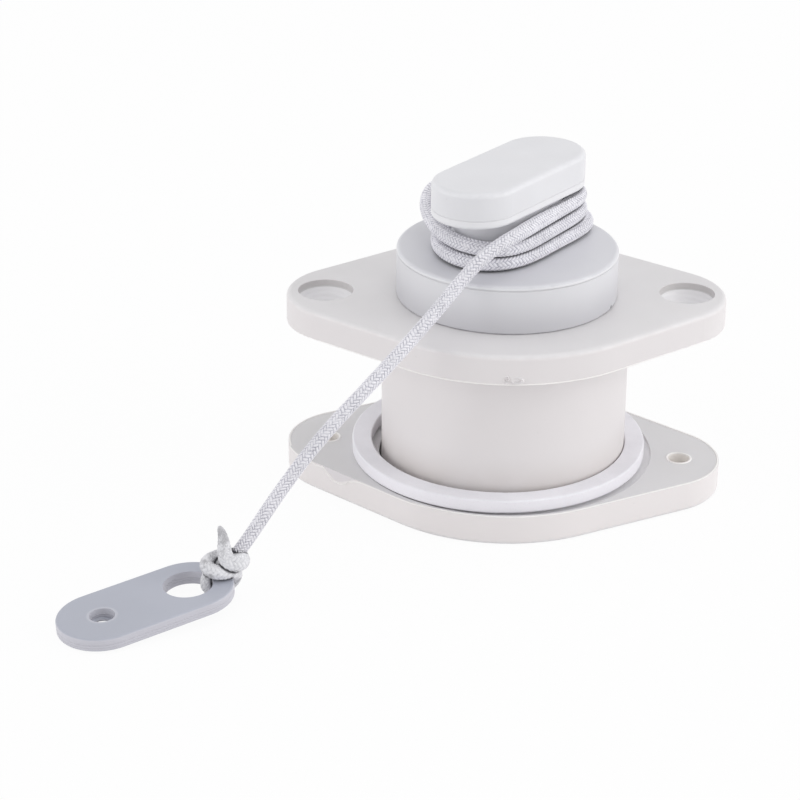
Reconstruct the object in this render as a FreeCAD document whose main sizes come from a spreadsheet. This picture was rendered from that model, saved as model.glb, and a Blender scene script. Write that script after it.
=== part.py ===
"""Scupper drain cap: a screw plug in a through-hull drain socket, with a loose
backing flange and gasket on the socket's tube, and a cord from the plug's neck
to a small screw-down tab.

Millimetres. The origin is on the tube's axis at the foot of the tube. +Z runs up
the tube to the plug, and +X runs along the socket's flange.
"""

import FreeCAD, Part
import math
import os

import Sketcher
from FreeCAD import Placement, Rotation, Vector

doc = FreeCAD.newDocument("scupper_drain_cap")

# Driving sizes

SIZES = [
    # Drain socket: a lozenge flange and its tube, moulded as one
    ("tube_dia", 38.0, "outside of the through-hull tube"),
    ("tube_drop", 26.7, "from the tube's foot up to the underside of the flange"),
    ("tube_foot_chamfer", 0.5, "lead-in round the foot of the tube"),
    ("outlet_dia", 32.0, "plain bore below the thread"),
    ("thread_bore_dia", 28.6, "root of the socket's thread"),
    ("thread_bore_drop", 15.7, "from the flange's top face down to the end of the thread"),
    ("seal_seat_dia", 32.4, "recess for the sealing ring in the mouth"),
    ("seal_seat_depth", 2.1, "depth of that recess"),
    ("flange_thickness", 4.5, "socket flange"),
    ("flange_waist_rad", 24.85, "radius of the flange's middle arcs"),
    ("flange_end_rad", 10.8, "radius of both flanges' rounded ends"),
    ("flange_end_reach", 22.85, "from the axis to the centre of each rounded end"),
    ("flange_top_round", 0.8, "rounding of the flange's upper edge"),
    ("screw_spacing", 55.3, "between the two screw holes, on both flanges"),
    ("screw_hole_dia", 4.4, "clearance for a number 8 screw"),
    ("screw_head_dia", 8.5, "mouth of the countersink"),
    ("screw_head_wall", 1.0, "straight wall above the countersink's cone"),
    # Screw plug
    ("disc_dia", 33.8, "disc that covers the mouth"),
    ("disc_height", 7.6, "disc, from the flange up"),
    ("disc_top_round", 0.6, "rounding of the disc's upper edge"),
    ("disc_foot_round", 0.3, "rounding of the disc's lower edge"),
    ("neck_dia", 11.0, "round neck between the disc and the knob"),
    ("neck_height", 7.45, "room for the cord under the knob"),
    ("knob_width", 13.2, "oblong knob, across"),
    ("knob_reach", 8.7, "from the axis to the centre of each knob end"),
    ("knob_height", 5.6, "knob, top to bottom"),
    ("knob_top_round", 0.9, "rounding of the knob's upper edge"),
    ("knob_foot_round", 0.6, "rounding of the knob's lower edge"),
    ("knob_turn", 53.0, "degrees, where the knob stands when the plug is home"),
    ("spigot_dia", 25.8, "root of the plug's thread"),
    ("spigot_collar_dia", 27.6, "plain collar that carries the sealing ring"),
    ("spigot_collar_drop", 2.6, "length of that collar"),
    ("spigot_drop", 14.0, "from the disc down to the spigot's end"),
    ("spigot_wall", 2.2, "wall of the hollow spigot"),
    ("plug_top_wall", 2.6, "material left above the hollow"),
    ("spigot_foot_chamfer", 0.7, "lead-in round the spigot's end"),
    ("seat_gap", 0.05, "air between faces that only rest on each other"),
    # Backing flange and gasket
    ("backing_thickness", 4.7, "backing flange"),
    ("backing_end_reach", 23.1, "from the axis to the centre of each of its rounded ends"),
    ("backing_waist_rad", 24.1, "radius of the backing flange's middle arcs"),
    ("backing_bore_gap", 0.35, "air all round between the tube and the backing flange"),
    ("backing_foot_round", 0.9, "rounding of the lower edge"),
    ("backing_turn", -7.0, "degrees, as the loose flange lies"),
    ("pilot_hole_dia", 3.4, "screw pilot holes in the backing flange"),
    ("gasket_recess_dia", 46.6, "shallow recess that the gasket works in"),
    ("gasket_recess_depth", 0.6, "depth of that recess"),
    ("gasket_dia", 45.7, "outside of the gasket ring"),
    ("gasket_bore_dia", 39.6, "hole of the gasket ring"),
    ("gasket_thickness", 2.1, "gasket ring"),
    ("gasket_edge_round", 0.25, "softened edges of the gasket"),
    ("gasket_shift", -0.72, "how far off the axis the loose gasket lies, along X"),
    # Cord and tab
    ("cord_dia", 2.3, "braided cord where it lies slack"),
    ("lead_dia", 2.05, "the same cord where it is pulled straight and thinner"),
    ("coil_turns_high", 3.0, "layers of cord between the disc and the knob"),
    ("coil_gap", 0.25, "air round the coil, to the neck and the disc"),
    ("coil_heading", 53.0, "degrees, the coil's straight side lies along the knob"),
    ("coil_bend_rad", 6.4, "radius of the coil's middle line at its front and back ends"),
    ("coil_side_rad", 8.0, "radius of the same line where it bulges"),
    ("coil_front_reach", 5.9, "from the axis to the middle of the front bend"),
    ("coil_back_reach", 7.3, "from the axis to the middle of the back bend"),
    ("coil_bulge_reach", 4.2, "from the axis to the middle of the bulging side's bend"),
    ("coil_edge_round", 0.9, "rounding of the coil's edges"),
    ("tab_width", 13.1, "retaining tab, across"),
    ("tab_hole_spacing", 13.75, "between the tab's two holes"),
    ("tab_thickness", 2.0, "retaining tab"),
    ("tab_edge_round", 0.35, "softened edges of the tab"),
    ("tab_cord_hole_dia", 7.2, "hole that the cord is tied through"),
    ("tab_screw_hole_dia", 3.7, "hole for the screw that holds the tab"),
    ("tab_heading", 33.5, "degrees, the way the tab points to the cord"),
    ("tab_lift", 3.5, "degrees, raised at the end that lies on the cord"),
    ("knot_heading", 10.0, "degrees, the way the knot lies across the tab's end"),
    ("knot_length", 6.9, "knot, end to end"),
    ("knot_width", 5.4, "knot, across"),
    ("knot_height", 5.2, "knot, top to bottom"),
    ("loop_slack", 0.1, "air between the tied loop and the tab"),
    ("loop_squash", 1.2, "thickness of the loop where it is pressed under the tab"),
]

sheet = doc.addObject("Spreadsheet::Sheet", "sizes")
for row, (alias, value, note) in enumerate(SIZES, start=1):
    sheet.set("A%d" % row, alias)
    sheet.set("B%d" % row, str(value))
    sheet.set("C%d" % row, note)
    sheet.setAlias("B%d" % row, alias)
doc.recompute()


def size(alias):
    """The value that the sheet holds for a size."""
    return float(getattr(sheet, alias))


# Where the tab's far tip touches the deck, and the lead of the cord

TAB_TIP = Vector(-62.9, -53.9, 0.02)

LEAD_ROUTE = [
    Vector(1.6, -9.9, 44.7),
    Vector(-1.8, -14.0, 44.3),
    Vector(-4.6, -16.0, 42.8),
    Vector(-7.6, -18.2, 40.0),
    Vector(-12.0, -22.4, 35.9),
    Vector(-19.7, -30.0, 29.7),
    Vector(-27.8, -34.4, 22.2),
    Vector(-34.1, -36.9, 13.9),
    Vector(-38.1, -38.0, 8.4),
    Vector(-40.2, -39.3, 6.2),
]


# Sketch helpers

def origin_plane(body, role):
    """One of the body's own origin planes, by its role."""
    return [f for f in body.Origin.OriginFeatures if f.Role == role][0]


def new_body(label):
    body = doc.addObject("PartDesign::Body", label)
    body.Label = label
    return body


def new_sketch(body, name, role, height=None, across=None):
    """A sketch on an origin plane. height raises it along Z, across moves it along X."""
    sketch = body.newObject("Sketcher::SketchObject", name)
    sketch.AttachmentSupport = [(origin_plane(body, role), "")]
    sketch.MapMode = "FlatFace"
    if height:
        sketch.setExpression("AttachmentOffset.Base.z", height)
    if across:
        sketch.setExpression("AttachmentOffset.Base.x", across)
    return sketch


def tie(sketch, constraint, name, expression):
    """Add a constraint, name it and bind it to the sheet."""
    index = sketch.addConstraint(constraint)
    sketch.renameConstraint(index, name)
    sketch.setExpression("Constraints." + name, expression)


def circle(sketch, diameter, name, at=(0.0, 0.0), place=None):
    """A circle whose diameter is an expression. place is its X as an expression."""
    value = sketch.evalExpression(diameter)
    geo = sketch.addGeometry(Part.Circle(Vector(at[0], at[1], 0), Vector(0, 0, 1), value / 2), False)
    tie(sketch, Sketcher.Constraint("Diameter", geo, value), name, diameter)
    if place is None:
        sketch.addConstraint(Sketcher.Constraint("Coincident", geo, 3, -1, 1))
        return geo
    sketch.addConstraint(Sketcher.Constraint("PointOnObject", geo, 3, -1))
    if at[0] > 0:
        tie(sketch, Sketcher.Constraint("DistanceX", -1, 1, geo, 3, at[0]), name + "_x", place)
    else:
        tie(sketch, Sketcher.Constraint("DistanceX", geo, 3, -1, 1, -at[0]), name + "_x", place)
    return geo


def rounded_hull(sketch, waist, end, reach, reach_left=None):
    """Outline of a lozenge or stadium: a middle circle and two end circles, joined by
    their common tangents. waist, end and the reaches are expressions. With no waist it
    is a stadium of two end arcs."""
    e = sketch.evalExpression(end)
    right = sketch.evalExpression(reach)
    left = sketch.evalExpression(reach_left or reach)
    flat = Vector(0, 0, 1)
    if waist:
        w = sketch.evalExpression(waist)
        lean = math.acos((w - e) / right)
    else:
        lean = math.pi / 2

    def arc(x, r, a0, a1):
        ring = Part.Circle(Vector(x, 0, 0), flat, r)
        return sketch.addGeometry(Part.ArcOfCircle(ring, a0, a1), False)

    def line(x0, r0, x1, r1, angle):
        lean_to = Vector(math.cos(angle), math.sin(angle), 0)
        start = Vector(x0, 0, 0) + lean_to * r0
        stop = Vector(x1, 0, 0) + lean_to * r1
        return sketch.addGeometry(Part.LineSegment(start, stop), False)

    right_arc = arc(right, e, -lean, lean)
    left_arc = arc(-left, e, math.pi - lean, math.pi + lean)
    if waist:
        top_arc = arc(0, w, lean, math.pi - lean)
        foot_arc = arc(0, w, math.pi + lean, 2 * math.pi - lean)
        chain = [
            right_arc,
            line(right, e, 0, w, lean),
            top_arc,
            line(0, w, -left, e, math.pi - lean),
            left_arc,
            line(-left, e, 0, w, math.pi + lean),
            foot_arc,
            line(0, w, right, e, -lean),
        ]
    else:
        chain = [
            right_arc,
            line(right, e, -left, e, lean),
            left_arc,
            line(-left, e, right, e, -lean),
        ]
    for this, after in zip(chain, chain[1:] + chain[:1]):
        sketch.addConstraint(Sketcher.Constraint("Tangent", this, 2, after, 1))
    sketch.addConstraint(Sketcher.Constraint("PointOnObject", right_arc, 3, -1))
    sketch.addConstraint(Sketcher.Constraint("PointOnObject", left_arc, 3, -1))
    tie(sketch, Sketcher.Constraint("Radius", right_arc, e), "end_rad", end)
    if waist:
        sketch.addConstraint(Sketcher.Constraint("Equal", right_arc, left_arc))
        sketch.addConstraint(Sketcher.Constraint("Coincident", top_arc, 3, -1, 1))
        sketch.addConstraint(Sketcher.Constraint("Coincident", foot_arc, 3, -1, 1))
        tie(sketch, Sketcher.Constraint("Radius", top_arc, w), "waist_rad", waist)
        sketch.addConstraint(Sketcher.Constraint("Equal", top_arc, foot_arc))
    tie(sketch, Sketcher.Constraint("DistanceX", -1, 1, right_arc, 3, right), "reach", reach)
    tie(
        sketch,
        Sketcher.Constraint("DistanceX", left_arc, 3, -1, 1, left),
        "reach_left",
        reach_left or reach,
    )


def profile(sketch, corners):
    """A closed outline of straight lines. Each corner is a pair of expressions, its
    distance from the axis and its height, and both are bound to the sheet."""
    points = [Vector(sketch.evalExpression(x), sketch.evalExpression(y), 0) for x, y in corners]
    count = len(points)
    for i in range(count):
        sketch.addGeometry(Part.LineSegment(points[i], points[(i + 1) % count]), False)
    for i in range(count):
        sketch.addConstraint(Sketcher.Constraint("Coincident", i, 2, (i + 1) % count, 1))
    for i, (x, y) in enumerate(corners):
        for axis, value, text in (("X", points[i].x, x), ("Y", points[i].y, y)):
            name = "p%d_%s" % (i, axis.lower())
            if abs(value) < 1e-9:
                on_axis = -2 if axis == "X" else -1
                sketch.addConstraint(Sketcher.Constraint("PointOnObject", i, 1, on_axis))
            elif value > 0:
                tie(sketch, Sketcher.Constraint("Distance" + axis, -1, 1, i, 1, value), name, text)
            else:
                back = "-1 * (" + text + ")"
                tie(sketch, Sketcher.Constraint("Distance" + axis, i, 1, -1, 1, -value), name, back)


def pad(body, sketch, length, name):
    feature = body.newObject("PartDesign::Pad", name)
    feature.Profile = sketch
    feature.setExpression("Length", length)
    return feature


def cut_through(body, sketch, name):
    """A pocket right through the body, both ways."""
    feature = body.newObject("PartDesign::Pocket", name)
    feature.Profile = sketch
    feature.Type = 1
    feature.Midplane = True
    return feature


def turned(body, sketch, kind, name):
    """A revolution or groove about the sketch's own vertical axis."""
    feature = body.newObject("PartDesign::" + kind, name)
    feature.Profile = sketch
    feature.ReferenceAxis = (sketch, ["V_Axis"])
    feature.Angle = 360
    return feature


def edges_where(feature, test):
    """Names of the feature's edges whose every sampled point passes the test."""
    names = []
    for number, edge in enumerate(feature.Shape.Edges, start=1):
        samples = edge.discretize(7)
        if all(test(p) for p in samples):
            names.append("Edge%d" % number)
    return names


def dress(body, kind, name, feature, test, amount):
    """Fillet or Chamfer on the edges that pass the test."""
    doc.recompute()
    names = edges_where(feature, test)
    if not names:
        raise ValueError("no edge found for " + name)
    finish = body.newObject("PartDesign::" + kind, name)
    finish.Base = (feature, names)
    finish.setExpression("Radius" if kind == "Fillet" else "Size", amount)
    doc.recompute()
    return finish


def at_height(height, inner=0.0):
    """A test for edges at one height, further from the axis than inner."""
    return lambda p: abs(p.z - height) < 1e-3 and math.hypot(p.x, p.y) > inner


def flange_top():
    return size("tube_drop") + size("flange_thickness")


# Drain socket

def drain_socket():
    """Lozenge flange with a rounded upper edge, its tube, the stepped bore and the two
    countersunk screw holes."""
    body = new_body("drain_socket")
    outline = new_sketch(body, "flange_outline", "XY_Plane", height="sizes.tube_drop")
    rounded_hull(outline, "sizes.flange_waist_rad", "sizes.flange_end_rad", "sizes.flange_end_reach")
    flange = pad(body, outline, "sizes.flange_thickness", "flange")
    dress(body, "Fillet", "flange_edge", flange, at_height(flange_top()), "sizes.flange_top_round")

    ring = new_sketch(body, "tube_outline", "XY_Plane")
    circle(ring, "sizes.tube_dia", "tube_outside")
    tube = pad(body, ring, "sizes.tube_drop + sizes.flange_thickness / 2", "tube")
    dress(body, "Chamfer", "tube_foot", tube, at_height(0.0), "sizes.tube_foot_chamfer")

    bore = new_sketch(body, "bore_profile", "XZ_Plane")
    top = "sizes.tube_drop + sizes.flange_thickness"
    seat = top + " - sizes.seal_seat_depth"
    thread_end = top + " - sizes.thread_bore_drop"
    step = "(sizes.outlet_dia - sizes.thread_bore_dia) / 2"
    profile(bore, [
        ("0", "-1"),
        ("sizes.outlet_dia / 2", "-1"),
        ("sizes.outlet_dia / 2", thread_end + " - " + step),
        ("sizes.thread_bore_dia / 2", thread_end),
        ("sizes.thread_bore_dia / 2", seat),
        ("sizes.seal_seat_dia / 2", seat),
        ("sizes.seal_seat_dia / 2", top + " + 1"),
        ("0", top + " + 1"),
    ])
    turned(body, bore, "Groove", "stepped_bore")

    hole = new_sketch(body, "screw_hole_profile", "XZ_Plane", across="sizes.screw_spacing / 2")
    cone_foot = top + " - sizes.screw_head_wall - (sizes.screw_head_dia - sizes.screw_hole_dia) / 2"
    profile(hole, [
        ("0", "sizes.tube_drop - 1"),
        ("sizes.screw_hole_dia / 2", "sizes.tube_drop - 1"),
        ("sizes.screw_hole_dia / 2", cone_foot),
        ("sizes.screw_head_dia / 2", top + " - sizes.screw_head_wall"),
        ("sizes.screw_head_dia / 2", top + " + 1"),
        ("0", top + " + 1"),
    ])
    first = turned(body, hole, "Groove", "screw_hole")
    doc.recompute()
    pair = body.newObject("PartDesign::Mirrored", "screw_hole_pair")
    pair.Originals = [first]
    pair.MirrorPlane = (origin_plane(body, "YZ_Plane"), [""])
    body.Tip = pair
    return body


# Screw plug

def drain_plug():
    """Disc, neck and hollow spigot turned in one profile, with the oblong knob on top."""
    body = new_body("drain_plug")
    body.Placement.Base = Vector(0, 0, 0)
    body.setExpression("Placement.Rotation.Angle", "sizes.knob_turn")
    seat = "sizes.tube_drop + sizes.flange_thickness"
    disc_top = seat + " + sizes.disc_height"
    knob_foot = disc_top + " + sizes.neck_height"
    spigot_end = seat + " - sizes.spigot_drop"
    collar_end = seat + " - sizes.spigot_collar_drop"
    hollow_rad = "sizes.spigot_dia / 2 - sizes.spigot_wall"
    lathe = new_sketch(body, "plug_profile", "XZ_Plane")
    profile(lathe, [
        ("0", disc_top + " - sizes.plug_top_wall"),
        (hollow_rad, disc_top + " - sizes.plug_top_wall"),
        (hollow_rad, spigot_end),
        ("sizes.spigot_dia / 2 - sizes.spigot_foot_chamfer", spigot_end),
        ("sizes.spigot_dia / 2", spigot_end + " + sizes.spigot_foot_chamfer"),
        ("sizes.spigot_dia / 2", collar_end),
        ("sizes.spigot_collar_dia / 2", collar_end),
        ("sizes.spigot_collar_dia / 2", seat),
        ("sizes.disc_dia / 2", seat),
        ("sizes.disc_dia / 2", disc_top),
        ("sizes.neck_dia / 2", disc_top),
        ("sizes.neck_dia / 2", knob_foot),
        ("0", knob_foot),
    ])
    disc = turned(body, lathe, "Revolution", "disc_neck_and_spigot")
    rim = size("disc_dia") / 2 - 0.1
    top = flange_top() + size("disc_height")
    disc = dress(body, "Fillet", "disc_edge", disc, at_height(top, rim), "sizes.disc_top_round")
    dress(body, "Fillet", "disc_foot", disc, at_height(flange_top(), rim), "sizes.disc_foot_round")

    outline = new_sketch(body, "knob_outline", "XY_Plane", height=knob_foot)
    rounded_hull(outline, None, "sizes.knob_width / 2", "sizes.knob_reach")
    knob = pad(body, outline, "sizes.knob_height", "knob")
    foot = top + size("neck_height")
    crown = foot + size("knob_height")
    round_top = dress(body, "Fillet", "knob_edge", knob, at_height(crown), "sizes.knob_top_round")
    beyond_neck = size("neck_dia") / 2 + 0.1
    dress(
        body, "Fillet", "knob_foot_edge", round_top, at_height(foot, beyond_neck),
        "sizes.knob_foot_round",
    )
    return body


def o_ring_seal():
    """Sealing ring squeezed between the spigot's collar and the recess of the mouth. The
    recess gives it both its width and its height."""
    body = new_body("o_ring_seal")
    inside = "sizes.spigot_collar_dia / 2 + sizes.seat_gap"
    outside = "sizes.seal_seat_dia / 2 - sizes.seat_gap"
    low = "sizes.tube_drop + sizes.flange_thickness - sizes.seal_seat_depth + sizes.seat_gap"
    high = "sizes.tube_drop + sizes.flange_thickness - sizes.seat_gap"
    section = new_sketch(body, "seal_section", "XZ_Plane")
    profile(section, [(inside, low), (outside, low), (outside, high), (inside, high)])
    ring = turned(body, section, "Revolution", "ring")
    across = "(sizes.seal_seat_dia - sizes.spigot_collar_dia) / 2 - 2 * sizes.seat_gap"
    along = "sizes.seal_seat_depth - 2 * sizes.seat_gap"
    smaller = "0.45 * min(" + across + "; " + along + ")"
    dress(body, "Fillet", "ring_edges", ring, lambda p: True, smaller)
    return body


# Backing flange and gasket

def backing_flange():
    """Loose lozenge flange that clamps from inside, with a gasket recess and pilot holes."""
    body = new_body("backing_flange")
    body.setExpression("Placement.Rotation.Angle", "sizes.backing_turn")
    outline = new_sketch(body, "backing_outline", "XY_Plane")
    rounded_hull(outline, "sizes.backing_waist_rad", "sizes.flange_end_rad", "sizes.backing_end_reach")
    plate = pad(body, outline, "sizes.backing_thickness", "plate")
    dress(body, "Fillet", "backing_edge", plate, at_height(0.0), "sizes.backing_foot_round")

    bore = new_sketch(body, "backing_bore", "XY_Plane")
    circle(bore, "sizes.tube_dia + 2 * sizes.backing_bore_gap", "bore")
    cut_through(body, bore, "bore")

    recess = new_sketch(
        body, "gasket_recess_outline", "XY_Plane",
        height="sizes.backing_thickness - sizes.gasket_recess_depth",
    )
    circle(recess, "sizes.gasket_recess_dia", "recess")
    shallow = body.newObject("PartDesign::Pocket", "gasket_recess")
    shallow.Profile = recess
    shallow.Reversed = True
    shallow.setExpression("Length", "sizes.gasket_recess_depth + 1")

    pilots = new_sketch(body, "pilot_holes_outline", "XY_Plane")
    half = size("screw_spacing") / 2
    circle(pilots, "sizes.pilot_hole_dia", "right", at=(half, 0.0), place="sizes.screw_spacing / 2")
    circle(pilots, "sizes.pilot_hole_dia", "left", at=(-half, 0.0), place="sizes.screw_spacing / 2")
    body.Tip = cut_through(body, pilots, "pilot_holes")
    return body


def gasket_ring():
    """Soft flat ring that lies loose round the tube, on the backing flange."""
    body = new_body("gasket_ring")
    body.setExpression("Placement.Base.x", "sizes.gasket_shift")
    body.setExpression("Placement.Base.z", "sizes.backing_thickness + sizes.seat_gap")
    outline = new_sketch(body, "gasket_outline", "XY_Plane")
    circle(outline, "sizes.gasket_dia", "outside")
    circle(outline, "sizes.gasket_bore_dia", "hole")
    ring = pad(body, outline, "sizes.gasket_thickness", "ring")
    dress(body, "Fillet", "gasket_edges", ring, lambda p: True, "sizes.gasket_edge_round")
    return body


# Cord: the coil's outer shape, the lead, and the knot in its loop

def coil_outline(sketch, middle_out):
    """Closed outline round three bends: front, back and the bulging side. middle_out is how
    far the outline lies outside the cord's middle line, as an expression."""
    bend = "sizes.coil_bend_rad + " + middle_out
    side = "sizes.coil_side_rad + " + middle_out
    rise = "sizes.coil_bend_rad - (sizes.neck_dia / 2 + sizes.coil_gap + sizes.cord_dia / 2)"
    spots = [
        ("sizes.coil_back_reach", rise, bend),
        ("0", "sizes.coil_bulge_reach", side),
        ("-1 * sizes.coil_front_reach", rise, bend),
    ]
    value = sketch.evalExpression
    rings = [(Vector(value(x), value(y), 0), value(r)) for x, y, r in spots]
    joints = []
    for (a, ra), (b, rb) in zip(rings, rings[1:] + rings[:1]):
        reach = b - a
        lean = math.atan2(reach.y, reach.x) - math.acos((ra - rb) / reach.Length)
        joints.append(lean)
    arcs = []
    for i, (centre, radius) in enumerate(rings):
        ring = Part.Circle(centre, Vector(0, 0, 1), radius)
        arcs.append(sketch.addGeometry(Part.ArcOfCircle(ring, joints[i - 1], joints[i]), False))
    lines = []
    for i, (centre, radius) in enumerate(rings):
        after, after_radius = rings[(i + 1) % 3]
        lean = Vector(math.cos(joints[i]), math.sin(joints[i]), 0)
        start = centre + lean * radius
        stop = after + lean * after_radius
        lines.append(sketch.addGeometry(Part.LineSegment(start, stop), False))
    for i in range(3):
        sketch.addConstraint(Sketcher.Constraint("Tangent", arcs[i], 2, lines[i], 1))
        sketch.addConstraint(Sketcher.Constraint("Tangent", lines[i], 2, arcs[(i + 1) % 3], 1))
    for i, (x, y, r) in enumerate(spots):
        tie(sketch, Sketcher.Constraint("Radius", arcs[i], value(r)), "r%d" % i, r)
        for axis, text in (("X", x), ("Y", y)):
            name = "c%d_%s" % (i, axis.lower())
            amount = value(text)
            if text == "0":
                sketch.addConstraint(Sketcher.Constraint("PointOnObject", arcs[i], 3, -2))
            elif amount > 0:
                tie(sketch, Sketcher.Constraint("Distance" + axis, -1, 1, arcs[i], 3, amount), name, text)
            else:
                back = "-1 * (" + text + ")"
                tie(sketch, Sketcher.Constraint("Distance" + axis, arcs[i], 3, -1, 1, -amount), name, back)


def cord_winding():
    """The loose turns round the neck as one band, as high as they are stacked. Its straight
    side lies against the neck and the other side bulges away from it."""
    body = new_body("cord_winding")
    body.setExpression("Placement.Rotation.Angle", "sizes.coil_heading")
    floor = "sizes.tube_drop + sizes.flange_thickness + sizes.disc_height + sizes.coil_gap"
    body.setExpression("Placement.Base.z", floor)
    outside = new_sketch(body, "coil_outside", "XY_Plane")
    coil_outline(outside, "sizes.cord_dia / 2")
    band = pad(body, outside, "sizes.coil_turns_high * sizes.cord_dia", "band")
    inside = new_sketch(body, "coil_inside", "XY_Plane")
    coil_outline(inside, "-1 * sizes.cord_dia / 2")
    hollow = cut_through(body, inside, "hollow")
    high = size("coil_turns_high") * size("cord_dia")
    level = lambda p: abs(p.z) < 1e-3 or abs(p.z - high) < 1e-3
    dress(body, "Fillet", "coil_edges", hollow, level, "sizes.coil_edge_round")
    return body


def rounded_path(points):
    """Straight runs joined by tangent arcs. Each arc's radius is 0.45 of its shorter run
    over the tangent of half the turn."""
    share = 0.45
    edges = []
    radii = []
    start = points[0]
    for before, corner, after in zip(points, points[1:], points[2:]):
        into = corner.sub(before)
        out = after.sub(corner)
        setback = share * min(into.Length, out.Length)
        turn = into.getAngle(out)
        radii.append(setback / math.tan(turn / 2))
        into.normalize()
        out.normalize()
        arc_start = corner - into * setback
        arc_stop = corner + out * setback
        bisector = (out - into).normalize()
        reach = math.hypot(setback, radii[-1])
        middle = corner + bisector * (reach - radii[-1])
        edges.append(Part.LineSegment(start, arc_start).toShape())
        edges.append(Part.Arc(arc_start, middle, arc_stop).toShape())
        start = arc_stop
    edges.append(Part.LineSegment(start, points[-1]).toShape())
    return Part.Wire(edges), radii


def cord_lead():
    """The cord's straight lead, from the coil down to the knot at the tab."""
    path, radii = rounded_path(LEAD_ROUTE)
    radius = size("lead_dia") / 2
    aim = LEAD_ROUTE[1] - LEAD_ROUTE[0]
    section = Part.Wire([Part.Circle(LEAD_ROUTE[0], aim, radius).toShape()])
    tube = path.makePipeShell([section], True, True)
    lead = doc.addObject("Part::Feature", "cord_lead")
    lead.Label = "cord_lead"
    lead.Shape = tube
    expected = math.pi * radius * radius * path.Length
    print("lead: length %.1f, volume %.2f, section times length %.2f" % (
        path.Length, tube.Volume, expected))
    print("lead: arc radii in cord diameters", [round(r / (2 * radius), 1) for r in radii])
    return lead


def tab_frame(body):
    """Place a body in the tab's frame: X along the tab from its far tip to the knot, Z up
    through its thickness, with the knot's end raised on the cord under it."""
    heading = Rotation(Vector(0, 0, 1), size("tab_heading"))
    lift = Rotation(Vector(0, 1, 0), -size("tab_lift"))
    body.Placement = Placement(TAB_TIP, heading * lift)


def retaining_tab():
    """Oblong tab with a large hole for the cord and a small one for its screw."""
    body = new_body("retaining_tab")
    tab_frame(body)
    far_end = "sizes.tab_width / 2"
    near_end = far_end + " + sizes.tab_hole_spacing"
    outline = new_sketch(body, "tab_outline", "XY_Plane", across=far_end + " + sizes.tab_hole_spacing / 2")
    rounded_hull(outline, None, "sizes.tab_width / 2", "sizes.tab_hole_spacing / 2")
    plate = pad(body, outline, "sizes.tab_thickness", "plate")
    plate = dress(body, "Fillet", "tab_edges", plate, lambda p: True, "sizes.tab_edge_round")
    holes = new_sketch(body, "tab_holes_outline", "XY_Plane")
    far = size("tab_width") / 2
    near = far + size("tab_hole_spacing")
    circle(holes, "sizes.tab_screw_hole_dia", "screw", at=(far, 0.0), place=far_end)
    circle(holes, "sizes.tab_cord_hole_dia", "cord", at=(near, 0.0), place=near_end)
    body.Tip = cut_through(body, holes, "tab_holes")
    return body


def cord_knot():
    """The tied loop round the tab's end, and the knot above it, as one closed lump."""
    body = new_body("cord_knot")
    tab_frame(body)
    web_start = size("tab_width") / 2 + size("tab_hole_spacing") + size("tab_cord_hole_dia") / 2
    web_stop = size("tab_width") + size("tab_hole_spacing")
    slack = size("loop_slack")
    cord = size("cord_dia")
    loop = body.newObject("PartDesign::AdditiveBox", "loop_block")
    loop.Length = web_stop - web_start + 2 * slack + 2 * cord
    loop.Width = cord
    loop.Height = size("tab_thickness") + size("loop_squash") + 2 * slack + cord
    under = -slack - size("loop_squash")
    loop.Placement = Placement(Vector(web_start - slack - cord, -cord / 2, under), Rotation())
    doc.recompute()
    window = body.newObject("PartDesign::SubtractiveBox", "loop_window")
    window.Length = web_stop - web_start + 2 * slack
    window.Width = 3 * cord
    window.Height = size("tab_thickness") + 2 * slack
    window.Placement = Placement(Vector(web_start - slack, -1.5 * cord, -slack), Rotation())
    doc.recompute()
    soft = dress(
        body, "Fillet", "loop_edges", window,
        lambda p: p.x < web_start - slack - cord + 1e-3 or p.x > web_stop + slack + cord - 1e-3,
        "sizes.loop_squash * 0.4",
    )
    lump = body.newObject("PartDesign::AdditiveEllipsoid", "knot")
    lump.Radius2 = size("knot_length") / 2
    lump.Radius3 = size("knot_width") / 2
    lump.Radius1 = size("knot_height") / 2
    centre_z = size("tab_thickness") + slack + size("knot_height") / 2
    beside = Rotation(Vector(0, 0, 1), size("knot_heading") - size("tab_heading"))
    centre = Vector((web_start + web_stop) / 2 + cord / 5, -0.4 * cord, centre_z)
    lump.Placement = Placement(centre, beside)
    doc.recompute()
    body.Tip = lump
    return body


# Build, check and write

PARTS = [
    drain_socket(),
    drain_plug(),
    o_ring_seal(),
    backing_flange(),
    gasket_ring(),
    cord_winding(),
    cord_lead(),
    cord_knot(),
    retaining_tab(),
]
doc.recompute()

for thing in doc.Objects:
    if "Invalid" in thing.State or "Error" in thing.State:
        raise RuntimeError("%s did not build: %s" % (thing.Label, thing.State))

os.makedirs("parts", exist_ok=True)
for part in PARTS:
    shape = part.Shape
    if shape.isNull() or not shape.isValid():
        raise RuntimeError(part.Label + " has no valid shape")
    box = shape.BoundBox
    print("%-15s solids %d  volume %9.2f  x %.2f..%.2f  y %.2f..%.2f  z %.2f..%.2f" % (
        part.Label, len(shape.Solids), shape.Volume,
        box.XMin, box.XMax, box.YMin, box.YMax, box.ZMin, box.ZMax))
    shape.exportStep("parts/%s.step" % part.Label)
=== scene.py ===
"""Looks of a white plastic scupper drain cap, its tied cord and its deck tab, in metres."""

import math

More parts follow.
